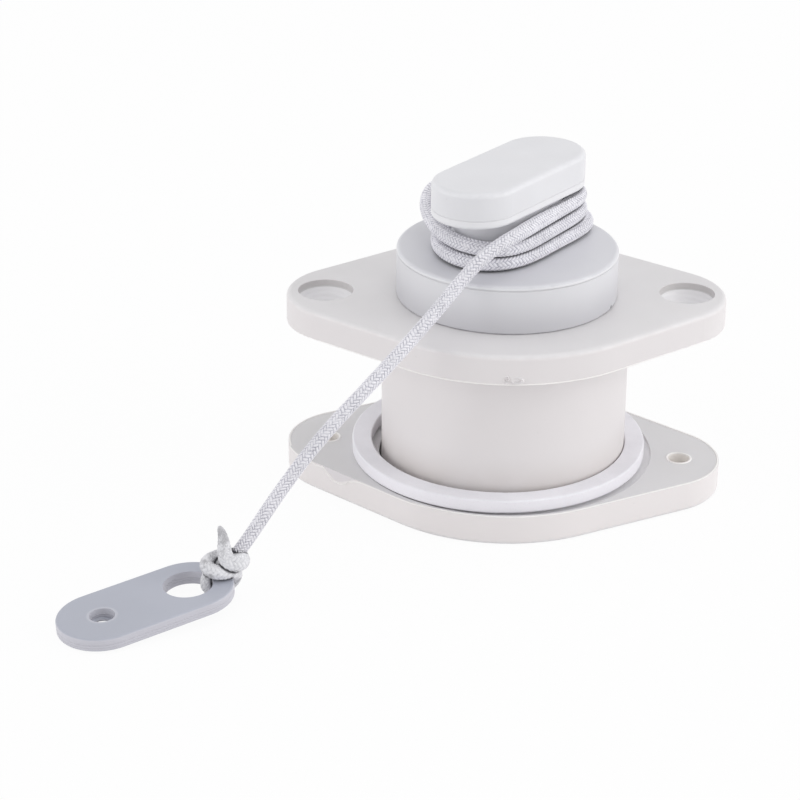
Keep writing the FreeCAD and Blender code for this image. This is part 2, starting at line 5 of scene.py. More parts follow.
import bpy
import numpy as np
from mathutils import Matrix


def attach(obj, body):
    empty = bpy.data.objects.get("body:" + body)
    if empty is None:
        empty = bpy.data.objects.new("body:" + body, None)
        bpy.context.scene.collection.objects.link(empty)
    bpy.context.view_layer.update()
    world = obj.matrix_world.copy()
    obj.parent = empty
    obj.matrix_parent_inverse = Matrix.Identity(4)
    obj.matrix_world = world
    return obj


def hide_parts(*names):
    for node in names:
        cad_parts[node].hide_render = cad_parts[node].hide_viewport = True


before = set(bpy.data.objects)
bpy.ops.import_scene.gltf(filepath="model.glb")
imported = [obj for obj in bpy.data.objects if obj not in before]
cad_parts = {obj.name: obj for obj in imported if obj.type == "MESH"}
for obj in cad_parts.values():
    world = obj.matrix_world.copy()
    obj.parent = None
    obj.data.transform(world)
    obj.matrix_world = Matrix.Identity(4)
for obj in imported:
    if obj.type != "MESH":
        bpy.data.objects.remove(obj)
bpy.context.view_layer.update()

MM = 0.001
UP = np.array((0.0, 0.0, 1.0))

# The camera stands in front of the fitting, looks down on it and is rolled a little. The lens and the sensor
# are in millimetres. The foot of the tube's axis lies at FOOT_IN_PICTURE, in pixels of a square picture.
CAMERA_TILT = math.radians(24.75)
CAMERA_ROLL = 0.009
CAMERA_DISTANCE = 0.4042
CAMERA_LENS = 115.0
SENSOR = 36.0
PICTURE = 800.0
FOOT_IN_PICTURE = (501.4, 474.1)

# Control points of the cord: over two and a half loose turns round the neck, then the lead to the tab.
CORD_ROUTE = (
    (-0.0036, 0.0069, 0.04005), (-0.0009, 0.01, 0.04005), (0.0028, 0.0119, 0.04005),
    (0.0061, 0.0127, 0.04005), (0.009, 0.0127, 0.04005), (0.0114, 0.0113, 0.04005),
    (0.0126, 0.0088, 0.04005), (0.0123, 0.006, 0.04005), (0.0109, 0.0033, 0.04005),
    (0.0087, 0.0002, 0.04005), (0.0064, -0.0029, 0.04005), (0.0041, -0.0063, 0.04005),
    (0.0015, -0.0092, 0.04005), (-0.0016, -0.011, 0.04005), (-0.0052, -0.011, 0.04005),
    (-0.0082, -0.0089, 0.04005), (-0.0101, -0.0056, 0.04005), (-0.0108, -0.0016, 0.04005),
    (-0.0103, 0.0026, 0.0403), (-0.0082, 0.0064, 0.0411), (-0.0048, 0.0094, 0.0419),
    (-0.0006, 0.0112, 0.0424), (0.0034, 0.0121, 0.0424), (0.0072, 0.0123, 0.0424),
    (0.0102, 0.0109, 0.0424), (0.0116, 0.008, 0.0424), (0.011, 0.0046, 0.0424),
    (0.0092, 0.0015, 0.0424), (0.0071, -0.0016, 0.0424), (0.0049, -0.005, 0.0424),
    (0.0026, -0.0085, 0.0424), (-0.0004, -0.0111, 0.0424), (-0.0037, -0.0115, 0.0425),
    (-0.0069, -0.0099, 0.0426), (-0.0095, -0.0066, 0.0427), (-0.0113, -0.0025, 0.0429),
    (-0.0124, 0.0018, 0.0437), (-0.0123, 0.0056, 0.0448), (-0.0105, 0.009, 0.0455),
    (-0.007, 0.011, 0.0454), (-0.0028, 0.0116, 0.045), (0.0014, 0.0117, 0.0448),
    (0.0051, 0.0121, 0.04475), (0.0082, 0.0118, 0.04475), (0.0105, 0.0101, 0.04475),
    (0.0114, 0.0075, 0.04475), (0.0109, 0.0046, 0.04475), (0.0091, 0.0017, 0.04475),
    (0.0069, -0.0017, 0.04475), (0.0047, -0.0051, 0.04475), (0.0024, -0.0087, 0.04475),
    (0.0004, -0.0119, 0.04475), (-0.0018, -0.014, 0.0443), (-0.0046, -0.016, 0.0428),
    (-0.0076, -0.0182, 0.04), (-0.012, -0.0224, 0.0359), (-0.0197, -0.03, 0.0297),
    (-0.0278, -0.0344, 0.0222), (-0.034, -0.0369, 0.0139), (-0.0376, -0.038, 0.0082),
    (-0.0395, -0.0393, 0.006),
)

# The cord is COIL_CORD thick in the coil and LEAD_CORD in the lead. Its braid has CARRIERS each way, cells of
# BRAID_CELL, and a depth that is a share of the radius. Its points lie a step apart, and each is averaged
# with CORD_EASE neighbours on either side.
COIL_CORD = 2.3 * MM
LEAD_CORD = 2.05 * MM
CARRIERS = 10
BRAID_CELL = 0.6 * MM
BRAID_DEPTH = 0.1
CORD_STEP = 0.13 * MM
CORD_EASE = 24

# Painted shade: a gap is dark up to TOUCH and light from CLEAR. Points of one cord make one if APART along
# it.
TOUCH = 0.12 * MM
CLEAR = 0.42 * MM
APART = 3.2 * MM

# Sizes of the solids. A lozenge has the radius of its waist, the radius of its ends and their reach.
TUBE_RADIUS = 19.0 * MM
FLANGE_FOOT = 26.7 * MM
FLANGE_TOP = 31.2 * MM
FLANGE_LOZENGE = (24.85 * MM, 10.8 * MM, 22.85 * MM)
SCREW_REACH = 27.65 * MM
SCREW_HEAD = 4.25 * MM
SCREW_WALL = 1.0 * MM
DISC_TOP = 38.8 * MM
DISC_RADIUS = 16.9 * MM
KNOB_FOOT = 46.25 * MM
KNOB_REACH = 8.7 * MM
KNOB_RADIUS = 6.6 * MM
KNOB_TURN = math.radians(53.0)
BACKING_TOP = 4.7 * MM
BACKING_LOZENGE = (24.1 * MM, 10.8 * MM, 23.1 * MM)
BACKING_TURN = math.radians(-7.0)
PILOT_HOLE = 1.7 * MM
GASKET_RECESS = 23.3 * MM

# The thread's rise in a turn, and the width of its ridge at the foot and on the flat top
THREAD_PITCH = 4.0 * MM
THREAD_FOOT = 1.55 * MM
THREAD_LAND = 0.7 * MM

# The backing flange's edge was trimmed at the front left: the cut deepens in the first range of X and eases
# off in the second.
CUT_LEFT = (-28.3 * MM, -25.9 * MM)
CUT_RIGHT = (-25.9 * MM, -22.2 * MM)
CUT_DEPTH = 1.65 * MM

# The tab lies on the deck with its tied end raised on the cord. TAB_END is the radius of its ends and the
# place of its small hole along it. TAB_MIDDLE is its middle, and TAB_REACH leads on to the cord's hole.
TAB_TIP = np.array((-62.9, -53.9, 0.02)) * MM
TAB_HEADING = math.radians(33.5)
TAB_LIFT = math.radians(3.5)
TAB_END = 6.55 * MM
TAB_MIDDLE = 13.4 * MM
TAB_REACH = 6.9 * MM
TAB_TOP = 2.0 * MM
TAB_HOLE = 1.85 * MM
CORD_HOLE = 3.6 * MM

# The tied end, in millimetres on the tab: down through the tab's hole, under its web, up round its end, once
# and a bit round the lead, then the tail.
KNOT_ROUTE = (
    (28.9, -0.9, 5.0), (27.5, -0.6, 4.3), (25.8, -0.1, 3.5), (24.2, 0.2, 2.9), (22.95, 0.1, 2.0),
    (22.75, -0.1, 0.6), (23.5, -0.2, -0.65), (25.3, -0.2, -0.85), (27.3, -0.2, -0.75), (28.35, -0.2, 0.2),
    (27.95, -0.7, 1.9), (26.6, -1.8, 2.9), (25.1, -2.3, 3.1), (23.7, -1.8, 3.4), (23.0, -0.4, 3.8),
    (23.6, 0.9, 4.0), (25.4, 1.5, 3.9), (27.5, 1.1, 3.9), (28.9, -0.4, 3.8), (28.7, -2.1, 3.9),
    (27.2, -2.8, 4.2), (25.6, -2.5, 4.5), (25.3, -1.7, 5.3), (26.3, -0.8, 6.4), (26.8, 0.2, 7.6),
    (26.7, 0.9, 8.7), (26.4, 1.1, 9.4),
)


def turned_by(heading, lift):
    """The turn that points a piece's length along a heading and raises its far end."""
    ch, sh, cl, sl = math.cos(heading), math.sin(heading), math.cos(lift), math.sin(lift)
    flat = np.array(((ch, -sh, 0.0), (sh, ch, 0.0), (0.0, 0.0, 1.0)))
    tilt = np.array(((cl, 0.0, -sl), (0.0, 1.0, 0.0), (sl, 0.0, cl)))
    return flat @ tilt


def on_tab(points):
    """Points given along, across and above the tab, put where the tab lies."""
    return TAB_TIP + np.asarray(points, float) @ turned_by(TAB_HEADING, TAB_LIFT).T


# Surfaces


def put(name, points, body, material, round_u=False, marks=None, uv=None):
    """A mesh from a grid of points, rows along the piece and columns round it.

    Neighbouring grid points make the faces. The grid is closed round its columns. Each end is drawn together
    in one point, unless the rows go round as well. The faces are turned outwards by the sign of the volume
    that they enclose.
    """
    rows, columns = points.shape[:2]
    corner = np.arange(rows * columns).reshape(rows, columns)
    here, ahead = (corner, np.roll(corner, -1, axis=0)) if round_u else (corner[:-1], corner[1:])
    quads = np.stack((here, np.roll(here, -1, axis=1), np.roll(ahead, -1, axis=1), ahead), axis=-1)
    quads = quads.reshape(-1, 4)
    flat = points.reshape(-1, 3)
    faces = [quads]
    if not round_u:
        first, last = len(flat), len(flat) + 1
        flat = np.vstack((flat, points[0].mean(axis=0), points[-1].mean(axis=0)))
        faces.append(np.stack((np.roll(corner[0], -1), corner[0], np.full(columns, first)), axis=-1))
        faces.append(np.stack((corner[-1], np.roll(corner[-1], -1), np.full(columns, last)), axis=-1))
    middle = flat.mean(axis=0)
    a, b, c, d = (flat[quads[:, k]] - middle for k in range(4))
    volume = np.einsum("ij,ij->i", a, np.cross(b, c)).sum() + np.einsum("ij,ij->i", a, np.cross(c, d)).sum()
    if volume < 0:
        faces = [f[:, ::-1] for f in faces]
    mesh = bpy.data.meshes.new(name)
    mesh.from_pydata(flat.tolist(), [], [f for group in faces for f in group.tolist()])
    mesh.polygons.foreach_set("use_smooth", np.ones(len(mesh.polygons), bool))
    for label, values in (marks or {}).items():
        values = np.append(values.ravel(), np.zeros(len(flat) - values.size))
        mesh.attributes.new(label, "FLOAT", "POINT").data.foreach_set("value", values.astype(np.float32))
    if uv is not None:
        lay_uv(mesh, uv, volume < 0)
    mesh.update()
    piece = bpy.data.objects.new(name, mesh)
    bpy.context.scene.collection.objects.link(piece)
    mesh.materials.append(material)
    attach(piece, body)
    return piece


def lay_uv(mesh, uv, flipped):
    """UVs from a grid that has one column more than the points, so that the seam keeps its own values.

    The triangles that close each end take the first value of its row.
    """
    loops = np.stack((uv[:-1, :-1], uv[:-1, 1:], uv[1:, 1:], uv[1:, :-1]), axis=2).reshape(-1, 4, 2)
    if flipped:
        loops = loops[:, ::-1]
    caps = [np.tile(uv[row, 0], (3 * (uv.shape[1] - 1), 1)) for row in (0, -1)]
    flat = np.vstack((loops.reshape(-1, 2), *caps))
    mesh.uv_layers.new(name="weave").data.foreach_set("uv", flat.ravel().astype(np.float32))


def nurbs(points):
    """The smooth line of a route: the points of the NURBS spline whose controls are the route's points."""
    curve = bpy.data.curves.new("route", "CURVE")
    curve.dimensions = "3D"
    curve.resolution_u = 24
    spline = curve.splines.new("NURBS")
    spline.points.add(len(points) - 1)
    spline.points.foreach_set("co", np.column_stack((points, np.ones(len(points)))).ravel())
    spline.order_u = 3
    spline.use_endpoint_u = True
    holder = bpy.data.objects.new("route", curve)
    line = bpy.data.meshes.new_from_object(holder)
    found = np.empty(len(line.vertices) * 3)
    line.vertices.foreach_get("co", found)
    bpy.data.objects.remove(holder)
    bpy.data.curves.remove(curve)
    bpy.data.meshes.remove(line)
    return found.reshape(-1, 3)


def even(line, step):
    """The same line with its points evenly spaced, and how far along it each one is."""
    run = np.append(0.0, np.cumsum(np.linalg.norm(np.diff(line, axis=0), axis=1)))
    along = np.linspace(0.0, run[-1], int(round(run[-1] / step)) + 1)
    return np.column_stack([np.interp(along, run, line[:, k]) for k in range(3)]), along


def smoothed(values, reach):
    """Values averaged with their neighbours along the line, the ends held."""
    window = np.hanning(2 * reach + 3)[1:-1]
    window /= window.sum()
    before, after = (np.repeat(end, reach, axis=0) for end in (values[:1], values[-1:]))
    padded = np.concatenate((before, values, after))
    return np.column_stack([np.convolve(column, window, mode="valid") for column in padded.T])


def eased(values, low, high):
    """0 up to the value low, 1 from the value high, smoothly in between."""
    share = np.clip((values - low) / (high - low), 0.0, 1.0)
    return share * share * (3.0 - 2.0 * share)


def ragged(along, seed, sizes):
    """An uneven height from 0 to 1 along an edge: the sum of waves of given lengths and weights, clipped."""
    rng = np.random.default_rng(seed)
    wave = sum(np.sin(2 * math.pi * (along / length + rng.random())) * weight for length, weight in sizes)
    return np.clip(0.5 + 0.5 * wave, 0.0, 1.0)


def frames(line):
    """Two directions across the line at each point, carried along it with as little twist as can be.

    Each direction across is turned back by the summed twist of the plain frame, which takes its side from a
    fixed slanting direction.
    """
    ahead = np.gradient(line, axis=0)
    ahead /= np.linalg.norm(ahead, axis=1)[:, None]
    slant = np.array((0.11, 0.07, 0.99))
    side = np.cross(ahead, slant)
    side /= np.linalg.norm(side, axis=1)[:, None]
    top = np.cross(side, ahead)
    turn = np.einsum("ij,ij->i", np.diff(side, axis=0), (top[1:] + top[:-1]) / 2)
    twist = -np.append(0.0, np.cumsum(turn))[:, None]
    return side * np.cos(twist) + top * np.sin(twist), top * np.cos(twist) - side * np.sin(twist)


def waver(far, angle, slow, quick, wind, start):
    """How far a family of carriers is out of its place: a slow and a quick wave that wind round the cord."""
    slow_wave = np.sin(far / slow + 2 * wind * angle + start)
    quick_wave = np.sin(far / quick - 3 * wind * angle + 2 * start)
    return 0.16 * slow_wave + 0.11 * quick_wave


def carrier_height(across, along):
    """How high a carrier stands: the sine across it times the root of the sine along its float of two."""
    along_float = np.sqrt(np.clip(np.sin(math.pi * along / 2), 0.0, 1.0))
    return np.where(along < 2, np.sin(math.pi * np.mod(across, 1.0)) * along_float, 0.0)


def strand(name, route, body, material, width, height=None, touching=(), beside=None, around=48):
    """A braided cord along a route: a round section of ten and ten carriers, over two and under two.

    With a the angle round the cord and s the way along it, the two families of n carriers run along lines of
    equal u = n a / 2 pi + s / c and v = n a / 2 pi - s / c, c the length of a cell. The first family is on
    top where floor(u) + floor(v), taken modulo four, is below two, and the second elsewhere. The radius rises
    with the carrier that is on top. Both families waver a little, since no braid is quite even. The width and
    the height are half sizes, given at shares of the way along.
    """
    line, along = even(nurbs(np.asarray(route)), CORD_STEP)
    line = smoothed(line, CORD_EASE)
    side, top = frames(line)
    angle = np.linspace(0.0, 2 * math.pi, around + 1)
    far = along[:, None]
    u = CARRIERS * angle / (2 * math.pi) + far / BRAID_CELL + waver(far, angle, 1.9 * MM, 0.7 * MM, 1, 0.0)
    v = CARRIERS * angle / (2 * math.pi) - far / BRAID_CELL + waver(far, angle, 2.3 * MM, 0.8 * MM, -1, 1.0)
    over = np.mod(v + np.floor(u), 4.0)
    under = np.mod(u + np.floor(v) - 2.0, 4.0)
    relief = np.maximum(carrier_height(u, over), carrier_height(v, under)) ** 0.7
    share = along / along[-1]
    wide = np.interp(share, *np.array(width).T)[:, None]
    high = wide if height is None else np.interp(share, *np.array(height).T)[:, None]
    swell = 1.0 - BRAID_DEPTH * (1.0 - relief)
    sideways = wide * np.cos(angle) * swell
    upwards = high * np.sin(angle) * swell
    points = line[:, None] + side[:, None] * sideways[..., None] + top[:, None] * upwards[..., None]
    points = points[:, :-1]
    # Painted shade for the gaps that the cord lies in, kept as a mark on its points
    marks = {"crevice_shade": crevice_shading(points, line, along, wide[:, 0], touching, beside)}
    return put(name, points, body, material, marks=marks, uv=np.stack((u, v), axis=-1)), line, along


def crevice_shading(points, line, along, wide, touching, beside):
    """Painted shade at each point of a cord in a gap: 1 where something is within TOUCH, 0 from CLEAR off.

    The gap is the distance to the nearest point of the cord's own line that is APART from it along the line,
    or of another cord's line, less that cord's radius, or the distance to a face as beside gives it. Every
    fourth point of a line is enough, and the rows are taken in blocks, which keeps the arrays small.
    """
    thin, block = 4, 64
    spots = [(line[::thin], along[::thin], wide[::thin])]
    for other, radius in touching:
        count = len(other[::thin])
        spots.append((other[::thin], np.full(count, np.inf), np.full(count, radius)))
    centres, reach, radii = (np.concatenate(group) for group in zip(*spots))
    centres, radii = centres.astype(np.float32), radii.astype(np.float32)
    gap = np.empty(points.shape[:2], np.float32)
    for first in range(0, len(points), block):
        rows = slice(first, first + block)
        away = np.linalg.norm(points[rows, :, None].astype(np.float32) - centres, axis=-1) - radii
        same = np.abs(reach[None, None] - along[rows, None, None]) < APART
        gap[rows] = np.where(same, np.inf, away).min(axis=2)
    if beside is not None:
        gap = np.minimum(gap, beside(points))
    return 1.0 - eased(gap, TOUCH, CLEAR)


def face_gap(points, height, reach, radius, turn=0.0):
    """How far points are from a level face, inside its outline: the hull of two circles, turned.

    Outside the outline it is a millimetre, which is as good as clear.
    """
    c, s = math.cos(turn), math.sin(turn)
    x, y = points[..., 0] * c + points[..., 1] * s, points[..., 1] * c - points[..., 0] * s
    inside = np.hypot(np.maximum(np.abs(x) - reach, 0.0), y) < radius
    return np.where(inside, np.abs(points[..., 2] - height), MM)


def coil_faces(points):
    """The faces that the coil lies against: the disc's top and the knob's underside."""
    low = face_gap(points, DISC_TOP, 0.0, DISC_RADIUS)
    return 0.6 * np.minimum(low, face_gap(points, KNOB_FOOT, KNOB_REACH, KNOB_RADIUS, KNOB_TURN))


def tab_faces(points):
    """The faces that the knot lies against: the tab's top, and the wall of its large hole."""
    placed = (points - TAB_TIP) @ turned_by(TAB_HEADING, TAB_LIFT) - (TAB_MIDDLE, 0.0, 0.0)
    from_rim = CORD_HOLE - np.hypot(placed[..., 0] - TAB_REACH, placed[..., 1])
    wall = np.where(placed[..., 2] < TAB_TOP + 0.1 * MM, from_rim, MM)
    return 0.7 * np.where(from_rim > 0.0, wall, face_gap(placed, TAB_TOP, TAB_REACH, TAB_END))


def ridge(name, body, material, root, crest, low, high, start=0.0):
    """A screw thread: a flat-topped ridge carried up a right-hand helix.

    At angle a the ridge's middle is at height low + pitch a / 2 pi. Across it the radius goes from the root
    up the flank to the crest and back, and over the first and last sixth of a turn it sinks into the wall.
    """
    turns = (high - low) / THREAD_PITCH
    angle = np.linspace(0.0, 2 * math.pi * turns, int(turns * 72) + 1)
    run_out = np.clip(np.minimum(angle, angle[-1] - angle) / (math.pi / 3), 0.0, 1.0)
    run_out = np.sin(run_out * math.pi / 2)[:, None]
    sunk = root - 0.25 * MM * np.sign(crest - root)
    land = THREAD_LAND / THREAD_FOOT
    across = np.array((-1.0, -0.97, -land * 1.15, -land, land, land * 1.15, 0.97, 1.0, 0.0))
    rise = np.array((0.0, 0.25, 0.96, 1.0, 1.0, 0.96, 0.25, 0.0, 0.0))
    radius = sunk + (crest - sunk) * rise * run_out
    up = low + THREAD_PITCH * angle[:, None] / (2 * math.pi) + across * THREAD_FOOT / 2
    turn = angle[:, None] + start
    points = np.stack((radius * np.cos(turn), radius * np.sin(turn), up), axis=-1)
    return put(name, points, body, material)


def hull_outline(waist, end, reach, turn=0.0, count=720):
    """The outline of a lozenge: the hull of a middle circle and two end circles, evenly spaced along it.

    At the direction a the hull's edge lies on the circle that reaches furthest that way: the waist radius, or
    the end radius plus the reach times the cosine of a. The points number about count.
    """
    a = np.linspace(0.0, 2 * math.pi, 20000)
    far = end + reach * np.abs(np.cos(a))
    ends = far > waist
    x = np.where(ends, end * np.cos(a) + reach * np.sign(np.cos(a)), waist * np.cos(a))
    y = np.where(ends, end * np.sin(a), waist * np.sin(a))
    x, y = x * math.cos(turn) - y * math.sin(turn), x * math.sin(turn) + y * math.cos(turn)
    line, along = even(np.column_stack((x, y, np.zeros_like(x))), (4.0 * reach + 4.0 * end) / count)
    return line[:-1], along[:-1]


def outward(line):
    """The level direction straight out of an outline at each of its points."""
    out = np.gradient(line, axis=0)[:, (1, 0, 2)] * np.array((1.0, -1.0, 0.0))
    return out / np.linalg.norm(out, axis=1)[:, None]


def fin(name, line, out, body, material, thick, tall):
    """Moulding flash: a thin lip with an oval section along a closed edge.

    Round the section by the angle b, a point lies on the edge plus out times tall times the cosine of b, plus
    up times thick times the sine of b.
    """
    b = np.linspace(0.0, 2 * math.pi, 9)[:-1]
    outwards = out[:, None] * np.cos(b)[None, :, None] * tall[:, None, None]
    points = line[:, None] + outwards + UP * np.sin(b)[None, :, None] * thick
    return put(name, points, body, material, round_u=True)


def collar(name, centre, radius, body, material, thick, tall, seed):
    """A raised rim or a burr round a hole: a ring whose height and radius wander a little."""
    a = np.linspace(0.0, 2 * math.pi, 73)[:-1]
    b = np.linspace(0.0, 2 * math.pi, 11)[:-1]
    wander = ragged(a, seed, ((2 * math.pi, 0.5), (2.1, 0.3), (0.9, 0.2)))[:, None]
    ring = radius + thick * np.cos(b) + 0.08 * MM * (wander - 0.5)
    up = tall * (0.6 + 0.6 * wander) * np.sin(b)
    x, y = ring * np.cos(a)[:, None], ring * np.sin(a)[:, None]
    return put(name, np.stack((x, y, up), axis=-1) + centre, body, material, round_u=True)


def gate_mark(name, centre, half, body, material, seed):
    """The broken stub that a mould's gate leaves on a side that faces the front.

    At r from 0 to 1 and the angle a, the point lies r times the half width and height away, follows the curve
    of the side, and stands out by a rim at r of 0.72, a crumbled middle and waves round it. The outermost
    ring is sunk in the side.
    """
    r = np.linspace(0.02, 1.0, 22)[:, None]
    a = np.linspace(0.0, 2 * math.pi, 49)[None, :-1]
    rng = np.random.default_rng(seed)
    waves = sum(
        np.sin(k * a + rng.random() * 6.3) * np.sin(k * r * 2.1 + rng.random() * 6.3) / k
        for k in (2, 3, 5, 8)
    )
    rim = np.exp(-((r - 0.72) / 0.13) ** 2) * (0.7 + 0.5 * np.sin(a + 2.4))
    rise = (rim + 0.35 * np.exp(-(r / 0.4) ** 2) + 0.22 * waves * (1 - r)) * 0.36 * MM
    rise = np.where(r > 0.985, -0.2 * MM, np.maximum(rise, -0.02 * MM))
    x = centre[0] + half[0] * r * np.cos(a)
    z = centre[2] + half[1] * r * np.sin(a)
    y = centre[1] - rise + x ** 2 / (2 * abs(centre[1]))
    return put(name, np.stack((x, y, z), axis=-1), body, material)


# Materials


def linear(red, green, blue):
    """A colour as it looks, from 0 to 255, as the light that it sends back."""
    value = np.array((red, green, blue)) / 255.0
    value = np.where(value <= 0.04045, value / 12.92, ((value + 0.055) / 1.055) ** 2.4)
    return (*value.tolist(), 1.0)


def scaled(base, factor):
    """A colour made lighter, darker or warmer, and never brighter than white."""
    return (*np.minimum(base * np.asarray(factor), 1.0).tolist(), 1.0)


class Field:
    """A number that a material works out at each point of a surface, so that sums on it read as sums."""

    def __init__(self, paint, socket):
        self.paint = paint
        self.socket = socket

    def maths(self, operation, *others):
        """A sum on this number and others, as the node of that operation does it."""
        inputs = dict(enumerate((self, *others)))
        return self.paint.node("ShaderNodeMath", {"operation": operation}, inputs).out(0)

    def __add__(self, other):
        return self.maths("ADD", other)

    def __sub__(self, other):
        return self.maths("SUBTRACT", other)

    def __mul__(self, other):
        return self.maths("MULTIPLY", other)

    def __pow__(self, other):
        return self.maths("POWER", other)

    def ramp(self, low, high, start=0.0, stop=1.0):
        """From start at the value low to stop at the value high, smoothly, and held beyond."""
        made = self.paint.node(
            "ShaderNodeMapRange",
            {"interpolation_type": "SMOOTHSTEP"},
            {"Value": self, "From Min": low, "From Max": high, "To Min": start, "To Max": stop},
        )
        return made.out("Result")


class Made:
    """A node of a material, whose outputs are taken by name or number."""

    def __init__(self, paint, node):
        self.paint = paint
        self.node = node

    def out(self, which):
        """One output, as a number to go on with."""
        return Field(self.paint, self.node.outputs[which])


class Paint:
    """The nodes of a material or of the world, and the ways to add to them."""

    def __init__(self, owner):
        owner.use_nodes = True
        self.material = owner
        self.tree = owner.node_tree
        self.tree.nodes.clear()

    def skin(self, **steady):
        """The shader of a surface, with the values that are the same all over it."""
        self.shader = self.node("ShaderNodeBsdfPrincipled", {}, steady)
        self.node("ShaderNodeOutputMaterial", {}, {"Surface": self.shader.out("BSDF")})
        return self

    def node(self, kind, settings, inputs):
        """Any node: its settings are set first, then its sockets' values or links."""
        node = self.tree.nodes.new(kind)
        for label, value in settings.items():
            setattr(node, label, value)
        for which, value in inputs.items():
            self.feed(node.inputs[which], value)
        return Made(self, node)

    def feed(self, socket, value):
        """A socket takes a field as a link, and anything else as its value."""
        if isinstance(value, Field):
            self.tree.links.new(value.socket, socket)
        else:
            socket.default_value = value

    def set(self, which, value):
        """One input of the surface's shader."""
        self.feed(self.shader.node.inputs[which], value)

    def place(self, centre=(0.0, 0.0, 0.0), turn=(0.0, 0.0, 0.0), scale=(1.0, 1.0, 1.0)):
        """Object coordinates moved, turned and stretched about a centre."""
        here = self.node("ShaderNodeTexCoord", {}, {}).out("Object")
        inputs = {"Vector": here, "Location": centre, "Rotation": turn, "Scale": scale}
        return self.node("ShaderNodeMapping", {"vector_type": "TEXTURE"}, inputs).out("Vector")

    def parts(self, vector):
        """The three numbers of a vector."""
        split = self.node("ShaderNodeSeparateXYZ", {}, {"Vector": vector})
        return split.out("X"), split.out("Y"), split.out("Z")

    def height(self, *placed):
        """How high a point is, or how high in coordinates that are placed as for place."""
        return self.parts(self.place(*placed))[2]

    def level(self):
        """1 on level faces, 0 on faces that stand upright, and in between on slanting ones."""
        normal = self.node("ShaderNodeTexCoord", {}, {}).out("Normal")
        return self.parts(normal)[2].maths("ABSOLUTE")

    def upright(self):
        """1 on faces that stand upright, 0 on level ones."""
        return self.level().ramp(0.3, 0.75, 1.0, 0.0)

    def band(self, low, high, soft):
        """1 between two heights and 0 a soft edge away from them."""
        height = self.height()
        return height.ramp(low - soft, low) * height.ramp(high, high + soft, 1.0, 0.0)

    def off_axis(self, centre=(0.0, 0.0), mirrored=False):
        """How far a point is from an upright line, or from that line and its mirror image in X."""
        x, y, _ = self.parts(self.place())
        x = (x.maths("ABSOLUTE") if mirrored else x) - centre[0]
        y = y - centre[1]
        return (x * x + y * y) ** 0.5

    def spot(self, centre, radius, soft):
        """1 near a point and 0 a soft edge away from it."""
        from_it = self.node("ShaderNodeVectorMath", {"operation": "LENGTH"}, {0: self.place(centre)})
        return from_it.out("Value").ramp(radius, radius + soft, 1.0, 0.0)

    def noise(self, vector, size, detail=3.0, rough=0.5):
        """Cloudy noise from 0 to 1 whose patches are about the given size across."""
        inputs = {"Vector": vector, "Scale": 1.0 / size, "Detail": detail, "Roughness": rough}
        return self.node("ShaderNodeTexNoise", {}, inputs).out(0)

    def cells(self, vector, size):
        """Distance to the nearest of scattered points, in units of their spacing."""
        inputs = {"Vector": vector, "Scale": 1.0 / size}
        return self.node("ShaderNodeTexVoronoi", {}, inputs).out("Distance")

    def blend(self, share, first, second):
        """The first colour where the share is 0, the second where it is 1."""
        settings = {"data_type": "RGBA"}
        return self.node("ShaderNodeMix", settings, {0: share, 6: first, 7: second}).out(2)

    def bump(self, height, distance, strength=1.0, below=None):
        """The normal of a relief of the given height in metres, laid over another normal."""
        inputs = {"Height": height, "Distance": distance, "Strength": strength}
        if below is not None:
            inputs["Normal"] = below
        return self.node("ShaderNodeBump", {}, inputs).out("Normal")


def new_paint(name, **steady):
    """A new surface material, with the values that are the same all over it."""
    return Paint(bpy.data.materials.new(name)).skin(**steady)


